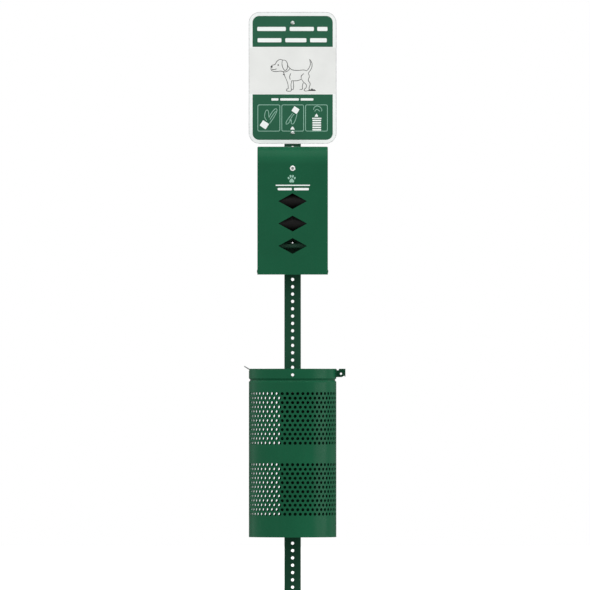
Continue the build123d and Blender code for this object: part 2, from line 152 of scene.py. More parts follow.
def powder_coat(name, colour, rough=(0.20, 0.32), specular=0.05, dust=0.05, round_axis=None):
    """Satin powder coat: orange peel, faint cloudiness, fine speckle, a little dust in patches and
    rubbed edges, whose lighter green is partly wear and partly a painted highlight. round_axis gives the (x, y) of a
    vessel's axis: its inner wall is painted much darker, a painted shade broken up by noise."""
    m, nt, bsdf, obj = material(name)
    cloud = noise(nt, obj, 7.0, 3.0, 0.55)
    speck = noise(nt, obj, 1400.0, 1.0, 0.4)
    base = ramp(nt, cloud, [(0.30, shade(colour, 0.93)), (0.70, shade(colour, 1.07))])
    base = mix(nt, remap(nt, speck, 0.0, 0.12, 0.55, 0.75), base, shade(colour, 1.6))
    streak = noise(nt, scaled(nt, obj, (60.0, 60.0, 5.0)), 1.0, 3.0, 0.6)
    pale = tuple(v * 0.8 + 0.03 for v in colour)
    base = mix(nt, remap(nt, streak, 0.0, dust, 0.52, 0.80), base, pale)
    geo = nt.nodes.new("ShaderNodeNewGeometry")
    # Edges: lighter green where the bevel normal leaves the surface normal, broken up by noise. This is partly rubbed
    # wear and partly a painted highlight on every edge and hole rim.
    bev = nt.nodes.new("ShaderNodeBevel")
    bev.samples = 4
    bev.inputs["Radius"].default_value = 0.0011
    dot = nt.nodes.new("ShaderNodeVectorMath")
    dot.operation = "DOT_PRODUCT"
    nt.links.new(bev.outputs[0], dot.inputs[0])
    nt.links.new(geo.outputs["Normal"], dot.inputs[1])
    edge = remap(nt, dot.outputs["Value"], 1.0, 0.0, 0.80, 0.985)
    worn_and_highlit_edge = math_node(nt, "MULTIPLY", edge, remap(nt, noise(nt, obj, 180.0, 4.0, 0.7), 0.05, 0.60, 0.40, 0.66))
    base = mix(nt, worn_and_highlit_edge, base, tuple(v * 1.25 + 0.012 for v in colour))
    # Inner wall: the colour goes much darker where the surface faces the axis. This is painted shade of the vessel's
    # inside, broken up by noise.
    if round_axis:
        off = nt.nodes.new("ShaderNodeVectorMath")
        off.operation = "SUBTRACT"
        off.inputs[1].default_value = (round_axis[0], round_axis[1], 0)
        nt.links.new(obj, off.inputs[0])
        flat = scaled(nt, off.outputs[0], (1, 1, 0))
        unit = nt.nodes.new("ShaderNodeVectorMath")
        unit.operation = "NORMALIZE"
        nt.links.new(flat, unit.inputs[0])
        facing = nt.nodes.new("ShaderNodeVectorMath")
        facing.operation = "DOT_PRODUCT"
        nt.links.new(unit.outputs[0], facing.inputs[0])
        nt.links.new(geo.outputs["Normal"], facing.inputs[1])
        inside_shade_mask = remap(nt, facing.outputs["Value"], 1.0, 0.0, -0.85, -0.35)
        painted_inside_shade = remap(nt, noise(nt, obj, 14.0, 5.0, 0.65), 0.70, 0.95, 0.35, 0.65)
        base = mix(nt, math_node(nt, "MULTIPLY", inside_shade_mask, painted_inside_shade), base, shade(colour, 0.16))
    nt.links.new(base, bsdf.inputs["Base Color"])
    nt.links.new(remap(nt, noise(nt, obj, 55.0, 4.0, 0.6), *rough, 0.3, 0.7), bsdf.inputs["Roughness"])
    bsdf.inputs["Specular IOR Level"].default_value = specular
    peel = noise(nt, obj, 620.0, 2.0, 0.45)
    bump(nt, bsdf, peel, 0.12, 0.00010)
    return m


def zinc_plate(name, colour=(0.60, 0.61, 0.61), rough=(0.26, 0.42), grain=(1.0, 1.0, 1.0)):
    m, nt, bsdf, obj = material(name)
    vec = scaled(nt, obj, grain)
    spangle = voronoi(nt, obj, 260.0, out="Color")
    base = ramp(nt, spangle, [(0.0, shade(colour, 0.80)), (0.5, colour), (1.0, shade(colour, 1.22))])
    stain = noise(nt, obj, 90.0, 4.0, 0.6)
    base = mix(nt, remap(nt, stain, 0.0, 0.30, 0.52, 0.75), base, (0.36, 0.36, 0.34))
    nt.links.new(base, bsdf.inputs["Base Color"])
    fine = noise(nt, vec, 900.0, 3.0, 0.6)
    nt.links.new(remap(nt, fine, *rough, 0.3, 0.7), bsdf.inputs["Roughness"])
    bsdf.inputs["Metallic"].default_value = 1.0
    bump(nt, bsdf, fine, 0.20, 0.00008)
    return m


def vinyl(name, colour, specular=0.22, rough=(0.32, 0.46), vary=0.05):
    """Printed sign film: fine bead texture and a faint honeycomb of the reflective sheet under the ink."""
    m, nt, bsdf, obj = material(name)
    cell = voronoi(nt, obj, 300.0, feature="DISTANCE_TO_EDGE", randomness=0.25)
    cloud = noise(nt, obj, 11.0, 3.0, 0.5)
    base = ramp(nt, cloud, [(0.3, shade(colour, 1 - vary)), (0.7, shade(colour, 1 + vary * 0.6))])
    line = remap(nt, cell, 0.10, 0.0, 0.0, 0.10)
    base = mix(nt, line, base, shade(colour, 0.86))
    nt.links.new(base, bsdf.inputs["Base Color"])
    nt.links.new(remap(nt, noise(nt, obj, 240.0, 3.0, 0.6), *rough, 0.3, 0.7), bsdf.inputs["Roughness"])
    bsdf.inputs["Specular IOR Level"].default_value = specular
    bump(nt, bsdf, noise(nt, obj, 1500.0, 1.0, 0.5), 0.05, 0.00005)
    return m


def film(name, dark=(0.0028, 0.0030, 0.0026), light=(0.0080, 0.0074, 0.0066)):
    """Thin black polyethylene wound on a roll: wrinkles run round the roll."""
    m, nt, bsdf, obj = material(name)
    wr = noise(nt, scaled(nt, obj, (420.0, 60.0, 60.0)), 1.0, 4.0, 0.65, 0.6)
    fold = noise(nt, scaled(nt, obj, (30.0, 120.0, 120.0)), 1.0, 3.0, 0.6, 1.2)
    both = math_node(nt, "ADD", wr, fold)
    base = ramp(nt, wr, [(0.3, dark), (0.75, light)])
    nt.links.new(base, bsdf.inputs["Base Color"])
    nt.links.new(remap(nt, fold, 0.38, 0.60, 0.3, 0.7), bsdf.inputs["Roughness"])
    bsdf.inputs["Specular IOR Level"].default_value = 0.12
    bump(nt, bsdf, both, 0.55, 0.0006)
    return m


def card(name):
    m, nt, bsdf, obj = material(name)
    fib = noise(nt, scaled(nt, obj, (90.0, 500.0, 500.0)), 1.0, 5.0, 0.7)
    spots = noise(nt, obj, 700.0, 2.0, 0.5)
    base = ramp(nt, fib, [(0.25, (0.26, 0.18, 0.10)), (0.6, (0.42, 0.31, 0.19)), (0.9, (0.52, 0.41, 0.27))])
    base = mix(nt, remap(nt, spots, 0.0, 0.5, 0.62, 0.8), base, (0.20, 0.14, 0.08))
    nt.links.new(base, bsdf.inputs["Base Color"])
    nt.links.new(remap(nt, fib, 0.78, 0.95), bsdf.inputs["Roughness"])
    bsdf.inputs["Specular IOR Level"].default_value = 0.2
    bump(nt, bsdf, fib, 0.35, 0.0002)
    return m


def polished(name):
    """Lock front: turned nickel plate with concentric tool marks."""
    m, nt, bsdf, obj = material(name)
    ring = nt.nodes.new("ShaderNodeTexWave")
    ring.wave_type, ring.rings_direction = "RINGS", "Y"
    ring.inputs["Scale"].default_value = 900.0
    ring.inputs["Distortion"].default_value = 1.5
    shift = nt.nodes.new("ShaderNodeMapping")
    shift.inputs["Location"].default_value = (0, 0, -1.464)
    nt.links.new(obj, shift.inputs["Vector"])
    nt.links.new(shift.outputs[0], ring.inputs["Vector"])
    base = ramp(nt, noise(nt, obj, 160.0, 4.0, 0.6), [(0.3, (0.62, 0.62, 0.61)), (0.7, (0.78, 0.78, 0.77))])
    nt.links.new(base, bsdf.inputs["Base Color"])
    nt.links.new(remap(nt, ring.outputs["Fac"], 0.16, 0.30), bsdf.inputs["Roughness"])
    bsdf.inputs["Metallic"].default_value = 1.0
    bump(nt, bsdf, ring.outputs["Fac"], 0.15, 0.00005)
    return m


GREEN = (0.0085, 0.0880, 0.0405)
POST_GREEN = (0.0125, 0.0640, 0.0345)
M_BODY = powder_coat("mat_body_green", GREEN)
M_POST = powder_coat("mat_post_green", POST_GREEN, rough=(0.34, 0.48), dust=0.10)
lo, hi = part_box("bin_body")
# The bin's coat also paints its inner wall darker: painted shade.
M_BIN = powder_coat("mat_bin_green", GREEN, round_axis=((lo.x + hi.x) / 2, (lo.y + hi.y) / 2))
# Hinge, strap, pin and rivets: the body green at half brightness, a painted shade copy of the body coat.
M_HINGE_SHADED = powder_coat("mat_hinge_green_painted_shade", shade(GREEN, 0.50), rough=(0.45, 0.62), dust=0.10)
M_ZINC = zinc_plate("mat_zinc")
M_BRIGHT = zinc_plate("mat_bright_zinc", (0.90, 0.90, 0.89), rough=(0.14, 0.22))
M_SIGN_BOLT = zinc_plate("mat_sign_bolt", (0.50, 0.54, 0.52), rough=(0.34, 0.50))
# Dark zinc for the bolts and washers inside the bin and for the lock plug: painted shade of the bin's inside and of
# the keyway.
M_ZINC_SHADED = zinc_plate("mat_zinc_painted_shade", (0.30, 0.315, 0.305), rough=(0.34, 0.52))
M_ROD = zinc_plate("mat_drawn_rod", (0.26, 0.27, 0.275), grain=(0.1, 3.0, 3.0))
M_LOCK = polished("mat_lock")
M_FILM = film("mat_bag_film")
M_FILM_GREEN = film("mat_bag_film_green", (0.016, 0.055, 0.032), (0.030, 0.090, 0.055))
M_CARD = card("mat_card")
M_WHITE = vinyl("mat_sign_white", (0.87, 0.90, 0.885))
M_FIELD = vinyl("mat_sign_field", (0.79, 0.80, 0.78))
M_EDGE = zinc_plate("mat_sign_bare_edge", (0.62, 0.63, 0.63), rough=(0.38, 0.5))
M_INK_GREEN = vinyl("mat_sign_green", (0.0095, 0.0980, 0.0480), vary=0.06)
M_INK_PALE = vinyl("mat_sign_pale_green", (0.30, 0.52, 0.42), vary=0.06)
M_INK_GREY = vinyl("mat_sign_grey", (0.035, 0.037, 0.034), vary=0.1)
M_INK_DARK = vinyl("mat_sign_dark", (0.020, 0.020, 0.019), vary=0.1)

NODE_MATERIAL = {"post_green": M_POST, "body_green": M_BODY, "zinc": M_ZINC, "lock_metal": M_LOCK,
                 "bag_film": M_FILM, "core_board": M_CARD, "sign_face": M_WHITE}
for sub in frame["record"]["subparts"]:
    node = frame["nodes"][sub["node"]]
    mat = NODE_MATERIAL[sub["material_slot"]]
    node.data.materials.clear()
    node.data.materials.append(mat)
for n in ("spindle_rods", "lid_pull"):
    frame["nodes"][n].data.materials[0] = M_ROD
# These small parts take the half-bright green: painted shade.
for n in ("lid_strap", "hinge_ears", "hinge_pin", "ear_rivets", "strap_rivets"):
    frame["nodes"][n].data.materials[0] = M_HINGE_SHADED
frame["nodes"]["dispenser_bolts"].data.materials[0] = M_BRIGHT
frame["nodes"]["sign_bolts"].data.materials[0] = M_SIGN_BOLT
# Painted shade: these parts take the dark zinc.
for n in ("bin_bolts", "bin_saddle_washers", "lock_plug"):
    frame["nodes"][n].data.materials[0] = M_ZINC_SHADED


# =============================================================== mesh helpers
def finish_mesh(name, verts, faces, mat, smooth_deg=35.0, body="station", slot=None):
    me = bpy.data.meshes.new(name)
    me.from_pydata([tuple(v) for v in verts], [], [tuple(f) for f in faces])
    me.validate()
    me.update()
    for p in me.polygons:
        p.use_smooth = True
    me.set_sharp_from_angle(angle=math.radians(smooth_deg))
    ob = bpy.data.objects.new(name, me)
    SC.collection.objects.link(ob)
    me.materials.append(mat)
    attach(ob, body)
    return ob


def zipper(ring, ring_ang, edge, edge_ang):
    """Triangles between a hole's ring and its cell's boundary, both counter-clockwise."""
    nr, ne = len(ring), len(edge)
    two = 2 * math.pi
    start = min(range(ne), key=lambda k: abs((edge_ang[k] - ring_ang[0] + math.pi) % two - math.pi))
    ea = [edge_ang[start]]
    order = [edge[start]]
    for k in range(1, ne + 1):
        a = edge_ang[(start + k) % ne]
        while a <= ea[-1]:
            a += two
        ea.append(a)
        order.append(edge[(start + k) % ne])
    ra = [ring_ang[0]]
    while ra[0] - ea[0] > math.pi:
        ra[0] -= two
    while ea[0] - ra[0] > math.pi:
        ra[0] += two
    for k in range(1, nr + 1):
        a = ring_ang[k % nr]
        while a <= ra[-1]:
            a += two
        ra.append(a)
    i = j = 0
    out = []
    while i < nr or j < ne:
        if j >= ne or (i < nr and ra[i + 1] <= ea[j + 1]):
            out.append((order[j], ring[(i + 1) % nr], ring[i % nr]))
            i += 1
        else:
            out.append((order[j], order[j + 1], ring[i % nr]))
            j += 1
    return out


def sheet_shell(name, cols, period, rows, holes, absent, pos, mat, seg=20, chamfer=0.35, thick=1.5, **kw):
    """A sheet of one thickness wrapped round a closed outline, with round holes as real geometry.
    cols: arc positions of the columns (mm), closed with the given period. rows: heights (mm).
    holes: {(column, strip): (s, z, radius)}, each inside columns column-1..column+1 of that strip.
    pos(s, z, f): the point at share f of the thickness, 0 outside and 1 inside."""
    nc = len(cols)
    flat, ids = [], {}

    def grid(j, i):
        key = (j % nc, i)
        if key not in ids:
            ids[key] = len(flat)
            flat.append((cols[j % nc], rows[i]))
        return ids[key]

    used = set()
    faces, rings = [], []
    for (j, i), (s, z, r) in holes.items():
        used |= {((j - 1) % nc, i), (j % nc, i)}
        ring = []
        for k in range(seg):
            a = 2 * math.pi * k / seg
            ring.append(len(flat))
            flat.append((s + r * math.cos(a), z + r * math.sin(a)))
        rings.append((ring, s, z, r))
        corners = [(j - 1, i), (j, i), (j + 1, i), (j + 1, i + 1), (j, i + 1), (j - 1, i + 1)]
        edge = [grid(*c) for c in corners]
        ang = []
        for v in edge:
            ds = (flat[v][0] - s + period / 2) % period - period / 2
            ang.append(math.atan2(flat[v][1] - z, ds) % (2 * math.pi))
        faces += zipper(ring, [2 * math.pi * k / seg for k in range(seg)], edge, ang)
    for i in range(len(rows) - 1):
        for j in range(nc):
            if (j, i) in used or (j, i) in absent:
                continue
            faces.append((grid(j, i), grid(j + 1, i), grid(j + 1, i + 1), grid(j, i + 1)))
    n = len(flat)
    in_ring = {}
    for ring, s, z, r in rings:
        for v in ring:
            in_ring[v] = (s, z, r)
    verts = []
    for k, (s, z) in enumerate(flat):
        if k in in_ring:
            s0, z0, r = in_ring[k]
            g = (r + chamfer) / r
            verts.append(pos(s0 + (s - s0) * g, z0 + (z - z0) * g, 0.0))
        else:
            verts.append(pos(s, z, 0.0))
    for k, (s, z) in enumerate(flat):
        verts.append(pos(s, z, 1.0))
    out = [tuple(f) for f in faces] + [tuple(n + v for v in reversed(f)) for f in faces]
    edges = {}
    for f in faces:
        for a, b in zip(f, f[1:] + f[:1]):
            if (b, a) in edges:
                del edges[(b, a)]
            else:
                edges[(a, b)] = True
    mid = {}
    for k in in_ring:
        mid[k] = len(verts)
        s, z = flat[k]
        verts.append(pos(s, z, chamfer / thick))
    for a, b in edges:
        if a in mid and b in mid:
            out.append((b, a, mid[a], mid[b]))
            out.append((mid[b], mid[a], n + a, n + b))
        else:
            out.append((b, a, n + a, n + b))
    verts = [(v[0] * MM, v[1] * MM, v[2] * MM) for v in verts]
    return finish_mesh(name, verts, out, mat, **kw)


# =============================================================== post
POST_W, POST_T, POST_C, PITCH = 57.15, 2.66, 4.2, 25.4
lo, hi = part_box("post")
post_z0, post_z1 = lo.z / MM, hi.z / MM
flat_w = POST_W - 2 * POST_C
arc = math.pi / 2 * POST_C
side_len = flat_w + arc
cols = []
hole_cols = []
for k in range(4):
    base = k * side_len
    hole_cols.append(len(cols) + 2)
    cols += [base + flat_w / 2 + u for u in (-flat_w / 2, -10.5, 0.0, 10.5, flat_w / 2)]
    cols += [base + flat_w + arc * a / 6 for a in range(1, 6)]


def post_pos(s, z, f):
    s = s % (4 * side_len)
    k, t = int(s // side_len), s % side_len
    if t <= flat_w:
        x, y = t - flat_w / 2, -POST_W / 2 + POST_T * f
    else:
        a = -math.pi / 2 + (t - flat_w) / arc * math.pi / 2
        r = POST_C - POST_T * f
        x, y = flat_w / 2 + r * math.cos(a), -flat_w / 2 + r * math.sin(a)
    for _ in range(k):
        x, y = -y, x
    return x, y, z


n_rows = int(round((post_z1 - post_z0) / PITCH))
rows = [post_z0 + PITCH * i for i in range(n_rows + 1)]
holes = {}
for i in range(n_rows):
    for c in hole_cols:
        holes[(c, i)] = (cols[c], rows[i] + PITCH / 2, 5.555)
post = sheet_shell("post_tube", cols, 4 * side_len, rows, holes, set(), post_pos, M_POST, seg=24, chamfer=0.4,
                   thick=POST_T, slot="post_green")
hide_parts("post")

# =============================================================== perforated bin
lo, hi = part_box("bin_body")
BIN_R, BIN_T = (hi.x - lo.x) / 2 / MM, 1.5
BIN_Y = (lo.y + hi.y) / 2 / MM
BIN_Z0, RIM_Z = lo.z / MM, hi.z / MM
HALF = 3.42                        # half a hole pitch round the wall, degrees
TURN = -0.05                       # the middle column sits a hair left of the centre line
PERF_R = 5.5
FIRST, LAST = -48, 26              # half-pitch columns that carry holes: the right rear is plain
ROW = 15.535
LOW_TOP, UP_TOP = 439.4, 684.85    # heights of the two bands' top rows
BEAD_Z, BEAD_D = 731.4, 4.4
arc_mm = BIN_R * math.radians(1.0)


def bead(z, half, depth):
    """Inward depth of the rolled bead at this height."""
    d = abs(z - BEAD_Z)
    if d >= half:
        return 0.0
    c = math.cos(math.pi / 2 * d / half)
    return depth * c ** 1.15


def bin_pos(s, z, f):
    a = s / arc_mm
    r = (BIN_R - bead(z, 5.8, BEAD_D)) * (1 - f) + (BIN_R - BIN_T - bead(z, 6.6, BEAD_D)) * f
    return r * math.sin(math.radians(a)), BIN_Y - r * math.cos(math.radians(a)), z


# Column angles: the perforated run, then the plain right rear with one column on the rear centre line.
angles = [HALF * c + TURN for c in range(FIRST - 2, LAST + 3)]
first_col = FIRST - 2
n_plain = 25
step = (180.0 - angles[-1]) / n_plain
rear = len(angles) + n_plain - 1
angles += [angles[-1] + step * k for k in range(1, n_plain + 1)]
gap = angles[0] + 360.0 - 180.0
angles += [180.0 + gap * k / 3 for k in (1, 2)]
cols = [a * arc_mm for a in angles]


def col_of(c):
    return c - first_col


low0, up0 = LOW_TOP - 11.5 * ROW, UP_TOP - 11.5 * ROW
rows = [BIN_Z0, BIN_Z0 + 1.2, 200.0, 216.0, 232.5, 250.1]
low_strip = len(rows)
rows += [low0 + ROW * k for k in range(13)]
rows += [461.1, 478.7, 493.0]
up_strip = len(rows)
rows += [up0 + ROW * k for k in range(13)]
rows += [706.0, 716.0, 724.0, 725.2, 726.4, 727.6, 728.8, 730.1, 731.4, 732.7, 734.0, 735.2, 736.4, 737.6, 738.8]
rows += [740.5, 758.1, 763.9, 765.7, RIM_Z - 0.5, RIM_Z]


def strip_of(z):
    return max(i for i in range(len(rows) - 1) if rows[i] < z)


holes = {}
for start, top in ((low_strip, LOW_TOP), (up_strip, UP_TOP)):
    for r in range(12):
        for c in range(FIRST, LAST + 1):
            if (c + r) % 2 == 0:
                k = col_of(c)
                holes[(k, start + 11 - r)] = (cols[k], top - ROW * r, PERF_R)
for z in (241.3, 469.9, 698.5):
    holes[(rear, strip_of(z))] = (cols[rear], z, 4.85)
z = 749.3
holes[(rear, strip_of(z))] = (cols[rear], z, 5.555)
holes[(col_of(0), strip_of(z))] = (cols[col_of(0)] - TURN * arc_mm, z, 5.555)
absent = set()
for i in range(len(rows) - 1):
    if rows[i] >= 765.6:
        absent |= {(k, i) for k, a in enumerate(angles[:-1]) if 85.3 < a and angles[k + 1] < 97.5}
    if rows[i] >= 763.8:
        absent |= {(k, i) for k, a in enumerate(angles[:-1]) if -99.5 < a and angles[k + 1] < -81.5}
shell = sheet_shell("bin_perforated_wall", cols, 360.0 * arc_mm, rows, holes, absent, bin_pos, M_BIN, seg=20,
                    chamfer=0.3, thick=BIN_T, slot="body_green")
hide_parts("bin_body")


# =============================================================== printed graphics
def outline_mesh(name, groups, y_back, thick, mat, body="station"):
    """Filled outlines in the XZ plane, in mm, as one mesh that is thick mm deep towards -Y.
    A group is a list of closed outlines: the inner ones cut holes in the outer one."""
    bm = bmesh.new()
    for loops in groups:
        cu = bpy.data.curves.new(name + "_c", "CURVE")
        cu.dimensions = "2D"
        cu.fill_mode = "BOTH"
        cu.extrude = thick * MM / 2
        for loop in loops:
            sp = cu.splines.new("POLY")
            sp.points.add(len(loop) - 1)
            for p, (x, z) in zip(sp.points, loop):
                p.co = (x * MM, z * MM, 0, 1)
            sp.use_cyclic_u = True
        tmp = bpy.data.objects.new(name + "_c", cu)
        SC.collection.objects.link(tmp)
        dg = bpy.context.evaluated_depsgraph_get()
        part = bpy.data.meshes.new_from_object(tmp.evaluated_get(dg))
        bpy.data.objects.remove(tmp)
        sub = bmesh.new()
        sub.from_mesh(part)
        bmesh.ops.remove_doubles(sub, verts=sub.verts, dist=1e-7)
        bmesh.ops.recalc_face_normals(sub, faces=sub.faces)
        sub.to_mesh(part)
        sub.free()
        bm.from_mesh(part)
        bpy.data.meshes.remove(part)
    me = bpy.data.meshes.new(name)
    bm.to_mesh(me)
    bm.free()
    me.transform(Matrix(((1, 0, 0, 0), (0, 0, -1, (y_back - thick / 2) * MM), (0, 1, 0, 0), (0, 0, 0, 1))))
    me.materials.append(mat)
    ob = bpy.data.objects.new(name, me)
    SC.collection.objects.link(ob)
    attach(ob, body)
    return ob


def rrect(p, q, r=0.0, r_low=None, n=10):
    """Rounded rectangle between two corners; r for the upper corners, r_low for the lower ones."""
    (x0, x1), (z0, z1) = sorted((p[0], q[0])), sorted((p[1], q[1]))
    rl = r if r_low is None else r_low
    pts = []
    for cx, cz, rr, a0 in ((x1, z1, r, 0), (x0, z1, r, 90), (x0, z0, rl, 180), (x1, z0, rl, 270)):
        if rr <= 0:
            pts.append((cx, cz))
            continue
        ox, oz = cx + (-rr if a0 in (0, 270) else rr), cz + (-rr if a0 in (0, 90) else rr)
        pts += [(ox + rr * math.cos(math.radians(a0 + 90 * k / n)), oz + rr * math.sin(math.radians(a0 + 90 * k / n)))
                for k in range(n + 1)]
    return pts


def ellipse(c, rx, rz, tilt=0.0, n=22):
    pts = [(c[0] + rx * math.cos(2 * math.pi * k / n), c[1] + rz * math.sin(2 * math.pi * k / n)) for k in range(n)]
    return turn(pts, c, tilt)


def turn(pts, c, deg):
    co, si = math.cos(math.radians(deg)), math.sin(math.radians(deg))
    return [(c[0] + (p - c[0]) * co - (q - c[1]) * si, c[1] + (p - c[0]) * si + (q - c[1]) * co) for p, q in pts]


def smooth_line(points, n=8):
    """Catmull-Rom through the points."""
    pts = [points[0]] + list(points) + [points[-1]]
    out = []
    for k in range(1, len(pts) - 2):
        p0, p1, p2, p3 = (np.array(p, float) for p in pts[k - 1:k + 3])
        for t in np.linspace(0, 1, n, endpoint=False):
            out.append(tuple(0.5 * (2 * p1 + (p2 - p0) * t + (2 * p0 - 5 * p1 + 4 * p2 - p3) * t * t
                                    + (3 * p1 - p0 - 3 * p2 + p3) * t ** 3)))
    out.append(tuple(points[-1]))
    return out


def stroke(points, w, n=8, taper=0.0):
    """The closed outline of a pen line of width w through the points."""
    line = smooth_line(points, n)
    left, right = [], []
    for k, p in enumerate(line):
        a, b = np.array(line[max(k - 1, 0)]), np.array(line[min(k + 1, len(line) - 1)])
        d = b - a
        d = d / (np.hypot(*d) + 1e-9)
        t = k / (len(line) - 1)
        ww = w / 2 * (1 - taper * abs(2 * t - 1) ** 3)
        left.append((p[0] - d[1] * ww, p[1] + d[0] * ww))
        right.append((p[0] + d[1] * ww, p[1] - d[0] * ww))
    return left + right[::-1]


def placed(loop, centre):
    return [(p + centre[0], q + centre[1]) for p, q in loop]


lo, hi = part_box("sign_panel")
SIGN_Y = lo.y / MM                 # front face of the panel
SIGN = ((lo.x + hi.x) / 2 / MM, (lo.z + hi.z) / 2 / MM)
SW, SH = (hi.x - lo.x) / 2 / MM, (hi.z - lo.z) / 2 / MM
INK = 0.12                         # ink film thickness


def sign_art(name, groups, mat, layer=0, thick=INK):
    """Sign artwork in mm from the middle of the panel. A bare outline stands for a group of one."""
    groups = [g if isinstance(g[0], list) else [g] for g in groups]
    return outline_mesh(name, [[placed(l, SIGN) for l in g] for g in groups], SIGN_Y - INK * layer, thick, mat)


def inset(d, r):
    return rrect((-SW + d, -SH + d), (SW - d, SH - d), r, n=16)


sign_art("sign_bare_edge", [[inset(0.3, 37.8), inset(2.6, 35.5)]], M_EDGE, 0, 0.06)
sign_art("sign_field_grey", [rrect((-SW + 2.9, (-1012.5, -55.4)[1]), (SW - 2.9, (-1012.5, 105.1)[1]), 0.5)], M_FIELD)
sign_art("sign_header_panel", [rrect((-138.8, 107.4), (139.1, 214.6), 23.0, 0.8)], M_INK_GREEN)
sign_art("sign_footer_panel", [rrect((-138.8, -214.8), (139.1, -57.3), 0.8, 23.0)], M_INK_GREEN)
# Where a sign carries words, these panels carry plain bars: no letters.
bars = [
    rrect((-122.5, 162.4), (-23.6, 176.6), 3.4, n=6), rrect((-10.1, 162.4), (73.7, 176.6), 3.4, n=6),
    rrect((85.4, 162.4), (120.7, 176.6), 3.4, n=6), rrect((-121.5, 123.3), (-38.8, 137.5), 3.4, n=6),
    rrect((-25.3, 123.3), (47.7, 137.5), 3.4, n=6), rrect((60.5, 123.3), (118.3, 137.5), 3.4, n=6),
]
sign_art("sign_header_bars", bars, M_WHITE, 1)
bars = [rrect((-73.7, -78.5), (-49.2, -70.8), 1.8, n=5), rrect((-42.9, -78.5), (21.8, -70.8), 1.8, n=5),
        rrect((28.0, -78.5), (71.9, -70.8), 1.8, n=5)]
sign_art("sign_footer_bars", bars, M_WHITE, 1)

# Three framed pictograms: take a bag, pick up, put it in the bin.
frames = []
for p, q in (((-121.5, -185.4), (-43.3, -92.6)), ((-38.4, -185.4), (39.1, -92.6)), ((43.9, -185.4), (121.4, -92.6))):
    frames.append([rrect(p, q, 6.0, n=6), rrect((p[0] + 1.9, p[1] + 1.9), (q[0] - 1.9, q[1] - 1.9), 4.2, n=6)])
sign_art("sign_icon_frames", frames, M_INK_PALE, 1)
solid = []
c = (-98.0, -162.5)
solid.append(turn(rrect((c[0] - 12.3, c[1] - 11.0), (c[0] + 12.3, c[1] + 11.0), 1.5, n=4), c, -33))
c = (10.0, -111.7)
solid.append(turn(rrect((c[0] - 10.6, c[1] - 9.6), (c[0] + 10.6, c[1] + 9.6), 1.5, n=4), c, -33))
solid.append([(-8.0, -179.1), (7.2, -179.1), (4.5, -173.3), (-0.4, -168.1), (-5.2, -173.3)])
p, q = (67.4, -184.0), (100.0, -138.3)
solid.append(rrect((p[0], q[1] - 3.8), q, 1.2, n=4))
for k in range(5):
    top = q[1] - 6.6 - k * 8.1
    solid.append(rrect((p[0] + 1.4, top - 5.2), (q[0] - 1.4, top), 0.8, n=4))
solid.append([(76.4, -134.5), (88.9, -134.5), (86.5, -128.6), (82.7, -124.1), (78.9, -128.6)])
sign_art("sign_icon_solids", solid, M_WHITE, 1)
lines = []
for pts in (
    # first: fingers and thumb reaching over the bag's mouth
    [(-90.0, -148.3), (-96.9, -134.5), (-94.2, -117.2), (-87.9, -111.3), (-83.4, -118.6), (-82.0, -138.0)],
    [(-82.0, -138.0), (-72.7, -120.7), (-60.9, -107.9), (-54.4, -109.9), (-57.5, -122.7), (-69.2, -143.5), (-80.0, -158.0)],
    [(-78.6, -144.2), (-67.9, -127.6), (-58.5, -115.8)],
    # second: the hand in the turned bag
    [(-0.0, -122.7), (-11.8, -137.3), (-21.8, -152.8), (-21.8, -160.1), (-14.6, -157.3), (-4.9, -144.2)],
    [(-4.2, -144.9), (-4.2, -157.3), (2.0, -159.4), (7.9, -150.4), (12.4, -137.3), (15.5, -126.2)],
    [(-11.1, -149.4), (-2.1, -134.5), (5.5, -125.2)],
    # third: the hand that lets the bag go
    [(72.6, -110.3), (75.4, -102.0), (83.7, -97.5), (94.1, -100.6), (101.3, -109.6), (99.3, -115.8)],
    [(76.4, -116.5), (81.6, -109.9), (88.2, -110.6), (93.7, -116.2)],
):
    lines.append(stroke(pts, 1.9))
sign_art("sign_icon_lines", lines, M_INK_PALE, 1)

